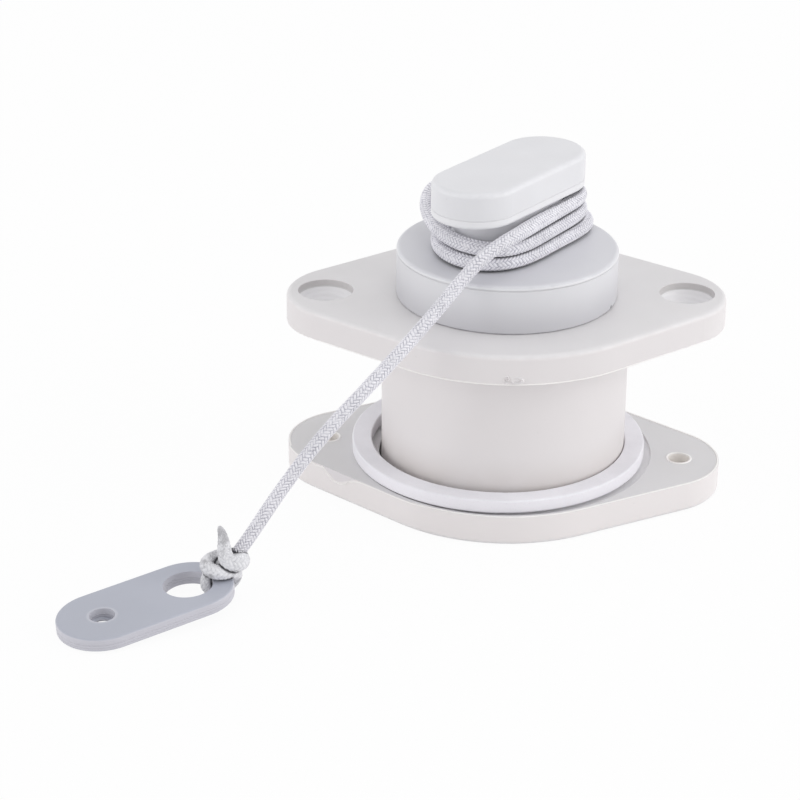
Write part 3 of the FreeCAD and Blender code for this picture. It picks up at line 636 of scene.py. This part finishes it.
def moulded(name, look, rough, grain=0.55 * MM, wear=0.35, warm=(1.0, 0.985, 0.975), lines=(), layers=(),
            relief=None, own_place=()):
    """Moulded plastic: cloudy tone, faint flow marks, a satin skin, paler rubbed edges and fine scuffs.

    Each layer is a share over the surface and the colour that it brings. Each line is a height, a half width
    and a depth: a fine groove there, or a ridge where the depth is below zero. The lines' heights are counted
    in the piece's own place.
    """
    paint = new_paint(name, **{"IOR": 1.46})
    here = paint.place()
    base = np.array(linear(*look)[:3])
    cloud = paint.noise(here, 17 * MM, 3.0)
    flow = paint.noise(paint.place(turn=(0.0, 0.3, 0.9), scale=(1.0, 5.0, 1.0)), 5 * MM, 4.0, 0.6)
    tone = paint.blend(cloud.ramp(0.3, 0.7), scaled(base, 0.965), scaled(base, 1.02))
    tone = paint.blend(flow.ramp(0.45, 0.75) * 0.25, tone, scaled(base, warm))
    for share, colour in layers:
        tone = paint.blend(share(paint), tone, linear(*colour))
    lean = paint.level()
    edge = lean.ramp(0.08, 0.4) * lean.ramp(0.6, 0.97, 1.0, 0.0)
    rub = edge * paint.noise(here, 2.2 * MM, 4.0, 0.65).ramp(0.35, 0.65)
    tone = paint.blend(rub * wear, tone, scaled(base * 1.1 + 0.03, 1.0))
    specks = paint.cells(paint.place(turn=(0.4, 0.2, 0.1)), 3.1 * MM).ramp(0.035, 0.06, 1.0, 0.0)
    specks = specks * paint.noise(here, 6 * MM, 2.0).ramp(0.55, 0.62)
    tone = paint.blend(specks * 0.14, tone, scaled(base, 0.6))
    streaks = paint.place(turn=(0.0, 0.0, 0.6), scale=(1.0, 14.0, 6.0))
    scuff = paint.noise(streaks, 1.3 * MM, 5.0, 0.7).ramp(0.55, 0.72)
    paint.set("Base Color", tone)
    paint.set("Roughness", cloud * 0.06 + scuff * 0.10 - rub * 0.05 + (rough - 0.03))
    normal = paint.bump(paint.noise(here, grain, 2.0, 0.5) + scuff * 0.4, 5e-6, 0.7)
    height = paint.height(*own_place)
    for level, half, depth in lines:
        cut = (height - level).maths("ABSOLUTE").ramp(0.0, half, 1.0, 0.0)
        normal = paint.bump(cut * -1.0 if depth > 0 else cut, abs(depth), 1.0, normal)
    if relief is not None:
        normal = paint.bump(relief(paint), 3e-5, 1.0, normal)
    paint.set("Normal", normal)
    return paint.material


# What each moulding's own places add to its tone, mostly painted light and shade: a share of the surface for
# each


def disc_side_shade(paint):
    """Painted shade on the disc's side, darkest at its foot."""
    side = paint.band(FLANGE_TOP, DISC_TOP - 0.7 * MM, 0.1 * MM)
    return side * paint.height().ramp(FLANGE_TOP, DISC_TOP - 1.0 * MM, 0.62, 0.12)


def disc_foot_shade(paint):
    """Painted shade: the dark line where the disc meets the flange."""
    return paint.band(FLANGE_TOP, FLANGE_TOP + 0.16 * MM, 0.08 * MM) * 0.7


def disc_face_shade(paint):
    """Painted shade on the disc's upper face, which lies under the knob and the cord."""
    return paint.band(DISC_TOP - 0.3 * MM, DISC_TOP + 0.02 * MM, 0.08 * MM) * 0.55


def disc_foot_gap_shade(paint):
    """Painted shade of a small dark gap at the foot of the disc, front right."""
    return paint.spot((15.51 * MM, -6.71 * MM, 31.5 * MM), 0.22 * MM, 0.3 * MM) * 0.8


def knob_foot_highlight(paint):
    """Painted highlight along the foot of the knob."""
    return paint.band(KNOB_FOOT, KNOB_FOOT + 1.3 * MM, 0.12 * MM) * 0.6


def screw_hole_wall_shade(paint):
    """Painted shade on the straight wall in the mouth of each screw hole."""
    hole = paint.off_axis((SCREW_REACH, 0.0), mirrored=True)
    inside = hole.ramp(SCREW_HEAD + 0.02 * MM, SCREW_HEAD + 0.06 * MM, 1.0, 0.0)
    return inside * paint.band(FLANGE_TOP - SCREW_WALL - 0.1 * MM, FLANGE_TOP - 0.12 * MM, 0.06 * MM) * 0.6


def screw_hole_cone_light(paint):
    """Painted light on the cone below that wall."""
    hole = paint.off_axis((SCREW_REACH, 0.0), mirrored=True)
    inside = hole.ramp(SCREW_HEAD - 0.05 * MM, SCREW_HEAD + 0.01 * MM, 1.0, 0.0)
    wall_foot = FLANGE_TOP - SCREW_WALL
    return inside * paint.height().ramp(wall_foot - 0.08 * MM, wall_foot, 0.9, 0.0)


def screw_hole_rings(paint):
    """A relief of fine rings in the cone, left by the cutter."""
    away = paint.off_axis((SCREW_REACH, 0.0), mirrored=True)
    rings = (away * (2 * math.pi / (0.62 * MM))).maths("SINE")
    return rings * away.ramp(SCREW_HEAD - 0.15 * MM, SCREW_HEAD - 0.05 * MM, 1.0, 0.0)


def standing_faces_light(paint):
    """Painted light on all faces that stand upright."""
    return paint.upright() * 0.7


def tube_foot_shade(paint):
    """Painted shade, warm and cloudy, low down on the tube."""
    low = paint.height().ramp(5.0 * MM, 13.0 * MM, 0.5, 0.0)
    low = low * paint.off_axis().ramp(TUBE_RADIUS + 0.3 * MM, TUBE_RADIUS + 0.6 * MM, 1.0, 0.0)
    return low * paint.noise(paint.place(), 9 * MM, 3.0).ramp(0.3, 0.6, 0.4, 1.0)


def pilot_hole_wall_light(paint):
    """Painted light on the walls of the backing flange's two pilot holes."""
    x, y = SCREW_REACH * math.cos(BACKING_TURN), SCREW_REACH * math.sin(BACKING_TURN)
    holes = (paint.off_axis(centre) for centre in ((x, y), (-x, -y)))
    right, left = (hole.ramp(PILOT_HOLE + 0.04 * MM, PILOT_HOLE + 0.1 * MM, 1.0, 0.0) for hole in holes)
    return right.maths("MAXIMUM", left)


def trimmed_place_shade(paint):
    """Painted shade on the upright face at the trimmed place, front left, above the wavy line of its flash.
    """
    x, y, height = paint.parts(paint.place())
    drop = x.ramp(*CUT_LEFT) * x.ramp(*CUT_RIGHT, CUT_DEPTH, 0.0)
    above = (height + drop).ramp(BACKING_TOP - 0.05 * MM, BACKING_TOP + 0.1 * MM)
    return above * y.ramp(-1.0 * MM, 0.0, 1.0, 0.0) * paint.upright()


def gasket_recess_light(paint):
    """Painted light in the recess that the gasket lies in."""
    inside = paint.off_axis().ramp(GASKET_RECESS - 0.05 * MM, GASKET_RECESS, 1.0, 0.0)
    return inside * paint.height().ramp(BACKING_TOP - 0.5 * MM, BACKING_TOP - 0.2 * MM, 0.9, 0.0)


def tab_hole_rim(paint):
    """The pale rim of the tab's small hole, and its wall."""
    x, y, _ = on_tab((TAB_END, 0.0, TAB_TOP)).tolist()
    inside = paint.off_axis((x, y)).ramp(TAB_HOLE + 0.2 * MM, TAB_HOLE + 0.5 * MM, 1.0, 0.0)
    return inside * paint.height().ramp(1.2 * MM, 1.9 * MM, 0.2, 0.45)


def knot_soil(paint):
    """Grey handled patches on the knot, more of them up the tail."""
    patch = paint.noise(paint.place(), 1.6 * MM, 3.0, 0.6)
    return (patch + paint.height().ramp(7.2 * MM, 10.5 * MM, 0.0, 0.09)).ramp(0.46, 0.66, 0.0, 0.55)


def on_top(along):
    """The root of the sine along a carrier's float of two, 0 where the carrier is under."""
    return (along * (math.pi / 2)).maths("SINE").maths("MAXIMUM", 0.0).maths("SQRT")


def braid(name, look, gap, soil, crevice_shade_colour, crisp=1.0, soiled=None):
    """Braided polyester: carriers over two and under two, each of a few yarns, gaps in painted shade, soiled
    specks.

    Painted shade in its own colour lies deep in the narrow gaps, and the soiled share takes the soil colour
    as well.
    """
    paint = new_paint(name, **{"Sheen Weight": 0.25, "Sheen Roughness": 0.4, "Specular IOR Level": 0.3})
    u, v, _ = paint.parts(paint.node("ShaderNodeUVMap", {"uv_map": "weave"}, {}).out("UV"))
    fu, fv = u.maths("FLOOR"), v.maths("FLOOR")
    on_u = on_top((v + fu).maths("FLOORED_MODULO", 4.0))
    on_v = on_top((u + fv - 2.0).maths("FLOORED_MODULO", 4.0))
    across_u, across_v = u - fu, v - fv
    first = (across_u * math.pi).maths("SINE") * on_u
    second = (across_v * math.pi).maths("SINE") * on_v
    crown = first.maths("MAXIMUM", second)
    yarn_u = (across_u * (8 * math.pi)).maths("COSINE") * on_u
    yarn_v = (across_v * (8 * math.pi)).maths("COSINE") * on_v
    yarn = yarn_u + yarn_v
    here = paint.place()
    fuzz = paint.noise(here, 0.35 * MM, 4.0, 0.7)
    cloud = paint.noise(here, 4.0 * MM, 3.0)
    base = np.array(linear(*look)[:3])
    tone = paint.blend(cloud.ramp(0.35, 0.65), scaled(base, 0.93), scaled(base, 1.03))
    patchy = paint.noise(here, 0.9 * MM, 3.0, 0.6).ramp(0.35, 0.6, 0.35, 1.0)
    # Painted shade in the weave: where the carriers dip, and between their yarns
    tone = paint.blend(crown.ramp(0.05, 0.65, 0.6 * crisp, 0.0) * patchy, tone, linear(*gap))
    tone = paint.blend(yarn.ramp(-1.0, 0.3, 0.10, 0.0), tone, linear(*gap))
    dirt = fuzz.ramp(0.55, 0.66) * paint.noise(here, 1.1 * MM, 3.0).ramp(0.46, 0.58)
    tone = paint.blend(dirt * 0.5, tone, linear(*soil))
    if soiled is not None:
        tone = paint.blend(soiled(paint), tone, linear(*soil))
    # Painted shade deep in the gaps that the cord lies in
    deep = paint.node("ShaderNodeAttribute", {"attribute_name": "crevice_shade"}, {}).out("Fac")
    tone = paint.blend((deep ** 1.2) * 0.94, tone, linear(*crevice_shade_colour))
    paint.set("Base Color", tone)
    paint.set("Roughness", crown.ramp(0.0, 1.0, 0.9, 0.68))
    relief = crown * crisp + yarn * 0.08 + fuzz * 0.12
    paint.set("Normal", paint.bump(relief, 7e-5, 0.9))
    return paint.material


def soft_ring(name, look, cut, rough, grain, deep):
    """A gasket or seal: even matt colour, a fine closed-cell grain, and painted shade on the upright cut
    edges.
    """
    paint = new_paint(name, **{"Specular IOR Level": 0.35})
    here = paint.place()
    base = np.array(linear(*look)[:3])
    cloud = paint.noise(here, 9 * MM, 4.0)
    cells = paint.cells(here, grain)
    tone = paint.blend(cloud.ramp(0.35, 0.7), scaled(base, 0.94), scaled(base, 1.03))
    # Painted shade on the upright cut edges
    tone = paint.blend(paint.upright() * 0.8, tone, linear(*cut))
    tone = paint.blend(cells.ramp(0.0, 0.35, 0.12, 0.0), tone, scaled(base, 0.6))
    paint.set("Base Color", tone)
    paint.set("Roughness", cloud * 0.14 + rough)
    paint.set("Normal", paint.bump(cells + paint.noise(here, grain * 0.6, 3.0) * 0.6, deep, 0.7))
    return paint.material


socket_white = moulded(
    "socket_white", (226, 224, 225), 0.42, relief=screw_hole_rings,
    # Painted light on upright faces and the screw holes' cones; painted shade low on the tube and on the
    # holes' walls
    layers=(
        (standing_faces_light, (231, 226, 226)), (tube_foot_shade, (203, 196, 190)), (screw_hole_cone_light, (240, 239, 241)),
        (screw_hole_wall_shade, (192, 190, 189)),
    ),
)
plug_white = moulded(
    "plug_white", (228, 228, 231), 0.38, grain=0.7 * MM,
    lines=((DISC_TOP - 0.75 * MM, 0.14 * MM, 9e-5), (KNOB_FOOT + 1.38 * MM, 0.13 * MM, -6e-5)),
    # Painted shade on the disc's face, side, foot and a gap at its foot; painted highlight on the knob's foot
    layers=(
        (disc_face_shade, (206, 206, 212)), (disc_side_shade, (186, 185, 190)), (disc_foot_shade, (160, 159, 163)),
        (disc_foot_gap_shade, (105, 104, 109)), (knob_foot_highlight, (237, 237, 239)),
    ),
)
backing_white = moulded(
    "backing_white", (223, 222, 223), 0.46, wear=0.55,
    # Painted light on upright faces, in the gasket's recess and the pilot holes; painted shade at the trimmed
    # place
    layers=(
        (standing_faces_light, (240, 234, 233)), (trimmed_place_shade, (222, 218, 220)), (gasket_recess_light, (252, 251, 252)),
        (pilot_hole_wall_light, (255, 251, 247)),
    ),
)
tab_grey = moulded(
    "tab_grey", (180, 183, 194), 0.40, grain=0.5 * MM, wear=0.25, warm=(0.985, 0.99, 1.01),
    own_place=(tuple(TAB_TIP.tolist()), (0.0, -TAB_LIFT, TAB_HEADING)),
    lines=((1.05 * MM, 0.12 * MM, -5e-5), (0.55 * MM, 0.1 * MM, 4e-5)),
    # Painted light on the upright faces
    layers=((standing_faces_light, (208, 206, 213)), (tab_hole_rim, (206, 207, 214))),
)
# Moulding flash: thin pale plastic, whitened further as a painted highlight along the edges that it lines.
flash_white_highlight = moulded("flash_white_highlight", (250, 248, 246), 0.36, wear=0.0)
gasket_white = soft_ring("gasket_white", (246, 245, 250), (242, 240, 245), 0.5, 0.45 * MM, 8e-6)
seal_black = soft_ring("seal_black", (52, 52, 55), (52, 52, 55), 0.55, 0.4 * MM, 6e-6)
# The cords' second colour is painted shade in the weave's gaps, and their last is painted shade deep in the
# gaps that they lie in.
cord_white = braid("cord_white", (247, 246, 251), (166, 165, 178), (120, 118, 132), (34, 33, 39), crisp=1.3)
knot_white = braid(
    "knot_white", (240, 240, 243), (188, 188, 194), (140, 139, 142), (46, 45, 52),
    crisp=0.7, soiled=knot_soil,
)

for node, material in (
    ("drain_socket", socket_white),
    ("drain_plug", plug_white),
    ("o_ring_seal", seal_black),
    ("backing_flange", backing_white),
    ("gasket_ring", gasket_white),
    ("retaining_tab", tab_grey),
):
    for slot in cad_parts[node].material_slots:
        slot.material = material

# The cord, its knots and its tail

coil_share = 0.735
cord_width = (
    (0.0, COIL_CORD / 2), (coil_share, COIL_CORD / 2),
    (coil_share + 0.04, LEAD_CORD / 2), (1.0, LEAD_CORD / 2),
)
cord, cord_line, cord_along = strand(
    "leash_cord", CORD_ROUTE, "leash", cord_white, cord_width, beside=coil_faces,
)
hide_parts("cord_winding", "cord_lead")

knot_high = (
    (0.0, 1.0 * MM), (0.14, 0.9 * MM), (0.2, 0.85 * MM), (0.25, 0.62 * MM), (0.33, 0.62 * MM),
    (0.38, 0.9 * MM), (0.45, 1.15 * MM), (0.66, 1.12 * MM), (0.76, 1.35 * MM), (0.84, 1.35 * MM),
    (0.92, 0.95 * MM), (0.98, 0.5 * MM), (1.0, 0.2 * MM),
)
knot_wide = (
    (0.0, 1.0 * MM), (0.14, 0.85 * MM), (0.38, 0.9 * MM), (0.45, 1.1 * MM), (0.66, 1.08 * MM),
    (0.76, 1.3 * MM), (0.84, 1.3 * MM), (0.92, 0.9 * MM), (0.98, 0.42 * MM), (1.0, 0.16 * MM),
)
knot, _, _ = strand(
    "leash_knot", on_tab(np.array(KNOT_ROUTE) * MM), "leash", knot_white, knot_wide, knot_high,
    touching=((cord_line[-160:], LEAD_CORD / 2),), beside=tab_faces, around=44,
)
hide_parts("cord_knot")

# A small overhand knot, a trefoil cut open, lies in the coil's pocket behind the neck, beside the start of
# the cord. It is a piece of its own and doesn't join the cord.
t = np.linspace(0.35, 2 * math.pi - 0.35, 26)
trefoil = np.column_stack((
    np.sin(t) + 2 * np.sin(2 * t), np.cos(t) - 2 * np.cos(2 * t), -1.1 * np.sin(3 * t),
))
pocket = math.radians(134.0)
pocket_out = np.array((math.cos(pocket), math.sin(pocket), 0.0))
pocket_aside = np.array((-math.sin(pocket), math.cos(pocket), 0.0))
pocket_middle = pocket_out * 7.45 * MM - pocket_aside * 0.2 * MM + UP * 42.35 * MM
start_route = pocket_middle + trefoil * 0.76 * MM @ np.array((pocket_aside, UP, pocket_out))
start_width = ((0.0, 0.85 * MM), (1.0, 0.85 * MM))
start_knot, _, _ = strand("start_knot", start_route, "leash", cord_white, start_width)

# The oblong neck that the cord is wound on: the hull of two circles, swept up with a small fillet at each end
# and sunk a little in the disc and the knob.
neck_line, _ = hull_outline(5.51 * MM, 5.51 * MM, 4.6 * MM, turn=KNOB_TURN, count=240)
fillet = 0.5 * MM
sunk = 0.01 * MM
bend = np.linspace(0.0, math.pi / 2, 7)
bend_rise = fillet * (1 - np.sin(bend))
bend_flare = fillet * (1 - np.cos(bend))
neck_up = np.append(DISC_TOP + bend_rise[::-1] - sunk, KNOB_FOOT - bend_rise + sunk)
neck_flare = np.append(bend_flare[::-1], bend_flare)
neck_points = neck_line + outward(neck_line) * neck_flare[:, None, None]
neck_points[..., 2] = neck_up[:, None]
neck = put("oblong_neck", neck_points, "plug", plug_white)

# The threads of the plug and the socket

plug_thread = ridge(
    "plug_thread", "plug", plug_white, root=12.9 * MM, crest=14.0 * MM, low=19.2 * MM, high=27.4 * MM,
)
socket_thread = ridge(
    "socket_thread", "socket", socket_white, root=14.3 * MM, crest=13.2 * MM, low=17.2 * MM, high=27.0 * MM,
    start=math.pi,
)

# Moulding flash and burrs

# Flash along the socket flange's lower edge, which stands out more at the front
edge_line, edge_along = hull_outline(*FLANGE_LOZENGE)
edge_out = outward(edge_line)
uneven = ragged(edge_along, 5, ((23 * MM, 0.5), (7.1 * MM, 0.35), (2.3 * MM, 0.25), (0.9 * MM, 0.15)))
inset = (0.17 - 0.13 * (1.0 - eased(edge_line[:, 1], -18.0 * MM, -4.0 * MM))) * MM
flash_line = edge_line - edge_out * inset[:, None] + UP * (FLANGE_FOOT + 0.06 * MM)
socket_flash = fin(
    "socket_flash", flash_line, edge_out, "socket", flash_white_highlight, thick=0.1 * MM,
    tall=(0.10 + 0.12 * uneven) * MM,
)

# Flash along the backing flange's upper edge: it dips at the trimmed place, is rough round it, and lies lower
# at the front left
burr_line, burr_along = hull_outline(*BACKING_LOZENGE, turn=BACKING_TURN)
burr_out = outward(burr_line)
jagged = ragged(burr_along, 9, ((31 * MM, 0.4), (5.3 * MM, 0.4), (1.7 * MM, 0.35), (0.7 * MM, 0.2)))
wavy = ragged(burr_along, 21, ((2.9 * MM, 0.6), (1.3 * MM, 0.3)))
burr_x = burr_line[:, 0]
front = burr_line[:, 1] < 0.0
cut = CUT_DEPTH * eased(burr_x, *CUT_LEFT) * (1.0 - eased(burr_x, *CUT_RIGHT)) * front
rough_part = eased(burr_x, -31.5 * MM, -30.0 * MM) * (1.0 - eased(burr_x, -24.5 * MM, -20.5 * MM)) * front
sunk_part = (1.0 - eased(burr_x, -16.0 * MM, -9.0 * MM)) * front
burr_level = BACKING_TOP - cut - rough_part * 0.36 * wavy * MM - sunk_part * 0.14 * MM
backing_flash = fin(
    "backing_flash", burr_line - burr_out * 0.2 * MM + burr_level[:, None] * UP, burr_out, "backing",
    flash_white_highlight, thick=0.12 * MM, tall=(0.12 + 0.07 * jagged ** 2 + 0.2 * sunk_part) * MM,
)

# The broken gate at the front of the socket flange: its stub, and a chip left of it
gate_side = 0.02 * MM - FLANGE_LOZENGE[0]
stub_middle = (0.8 * MM, gate_side, FLANGE_FOOT + 0.77 * MM)
chip_middle = (-0.75 * MM, gate_side, FLANGE_FOOT + 0.95 * MM)
gate = gate_mark("gate_mark", stub_middle, (1.15 * MM, 0.6 * MM), "socket", socket_white, 12)
gate_chip = gate_mark("gate_chip", chip_middle, (0.45 * MM, 0.62 * MM), "socket", socket_white, 7)

# The rims that screws raised round the pilot holes, and the burr at the foot of the tab's small hole
for name, sign, seed in (("pilot_rim_right", 1.0, 3), ("pilot_rim_left", -1.0, 4)):
    middle = sign * SCREW_REACH * np.array((math.cos(BACKING_TURN), math.sin(BACKING_TURN), 0.0))
    rim = collar(
        name, middle + UP * BACKING_TOP, PILOT_HOLE + 0.15 * MM, "backing", flash_white_highlight,
        thick=0.18 * MM, tall=0.16 * MM, seed=seed,
    )

burr = collar(
    "tab_hole_burr", on_tab((TAB_END, 0.0, 0.38 * MM)), TAB_HOLE, "leash", tab_grey,
    thick=0.5 * MM, tall=0.34 * MM, seed=6,
)

# Floor, light and camera


def backdrop_share(paint, share):
    """How much of the plain white shows: only to the camera, and in reflections and through clear things."""
    path = paint.node("ShaderNodeLightPath", {}, {})
    seen = path.out("Is Camera Ray").maths("MAXIMUM", path.out("Is Glossy Ray"))
    return seen.maths("MAXIMUM", path.out("Is Transmission Ray")) * share


floor_paint = Paint(bpy.data.materials.new("floor_white"))
lit = floor_paint.node("ShaderNodeBsdfDiffuse", {}, {"Color": (0.92, 0.92, 0.92, 1.0)}).out(0)
plain = {"Color": (1.0, 1.0, 1.0, 1.0), "Strength": 1.0}
bright = floor_paint.node("ShaderNodeEmission", {}, plain).out(0)
shares = {0: backdrop_share(floor_paint, 0.94), 1: lit, 2: bright}
mixed = floor_paint.node("ShaderNodeMixShader", {}, shares).out(0)
floor_paint.node("ShaderNodeOutputMaterial", {}, {"Surface": mixed})
reach = np.linspace(-2.5, 2.5, 3)
grid = np.stack((*np.meshgrid(reach, reach, indexing="ij"), np.full((3, 3), -0.03 * MM)), axis=-1)
floor_mesh = bpy.data.meshes.new("floor")
cell = [(a * 3 + b, a * 3 + 3 + b, a * 3 + 4 + b, a * 3 + 1 + b) for a in range(2) for b in range(2)]
floor_mesh.from_pydata(grid.reshape(-1, 3).tolist(), [], cell)
floor_mesh.materials.append(floor_paint.material)
floor = bpy.data.objects.new("floor", floor_mesh)
bpy.context.scene.collection.objects.link(floor)

world = bpy.data.worlds.new("studio")
bpy.context.scene.world = world
sky = Paint(world)
light = sky.node("ShaderNodeBackground", {}, {"Color": (0.99, 0.99, 1.0, 1.0), "Strength": 0.70}).out(0)
white = sky.node("ShaderNodeBackground", {}, plain).out(0)
both = sky.node("ShaderNodeMixShader", {}, {0: backdrop_share(sky, 1.0), 1: light, 2: white}).out(0)
sky.node("ShaderNodeOutputWorld", {}, {"Surface": both})


def lamp(name, place, size, power):
    """A square soft lamp that faces the fitting."""
    data = bpy.data.lights.new(name, "AREA")
    data.size, data.energy = size, power
    made = bpy.data.objects.new(name, data)
    bpy.context.scene.collection.objects.link(made)
    made.location = place
    away = np.array(place) - UP * 0.02
    away /= np.linalg.norm(away)
    across = np.cross(UP, away)
    across /= np.linalg.norm(across)
    turn = np.column_stack((across, np.cross(away, across), away))
    made.rotation_euler = Matrix(turn.tolist()).to_euler()


lamp("right_lamp", (1.0, -0.2, 0.36), 0.8, 4.2)
lamp("left_lamp", (-0.95, -0.35, 0.24), 0.7, 2.8)
lamp("top_lamp", (0.15, 0.05, 1.1), 0.7, 1.2)

camera_data = bpy.data.cameras.new("camera")
camera_data.lens, camera_data.sensor_width = CAMERA_LENS, SENSOR
camera_data.clip_start, camera_data.clip_end = 0.02, 20.0
camera = bpy.data.objects.new("camera", camera_data)
bpy.context.scene.collection.objects.link(camera)
ahead = np.array((0.0, math.cos(CAMERA_TILT), -math.sin(CAMERA_TILT)))
level = np.array((1.0, 0.0, 0.0))
upward = np.array((0.0, math.sin(CAMERA_TILT), math.cos(CAMERA_TILT)))
right = math.cos(CAMERA_ROLL) * level + math.sin(CAMERA_ROLL) * upward
up = -math.sin(CAMERA_ROLL) * level + math.cos(CAMERA_ROLL) * upward
pixels = CAMERA_LENS / SENSOR * PICTURE
shift_right = (FOOT_IN_PICTURE[0] - PICTURE / 2) / pixels * CAMERA_DISTANCE
shift_down = (FOOT_IN_PICTURE[1] - PICTURE / 2) / pixels * CAMERA_DISTANCE
camera.location = -right * shift_right + up * shift_down - ahead * CAMERA_DISTANCE
camera.rotation_euler = Matrix(np.column_stack((right, up, -ahead)).tolist()).to_euler()
bpy.context.scene.camera = camera

bpy.context.scene.view_settings.view_transform = "Standard"
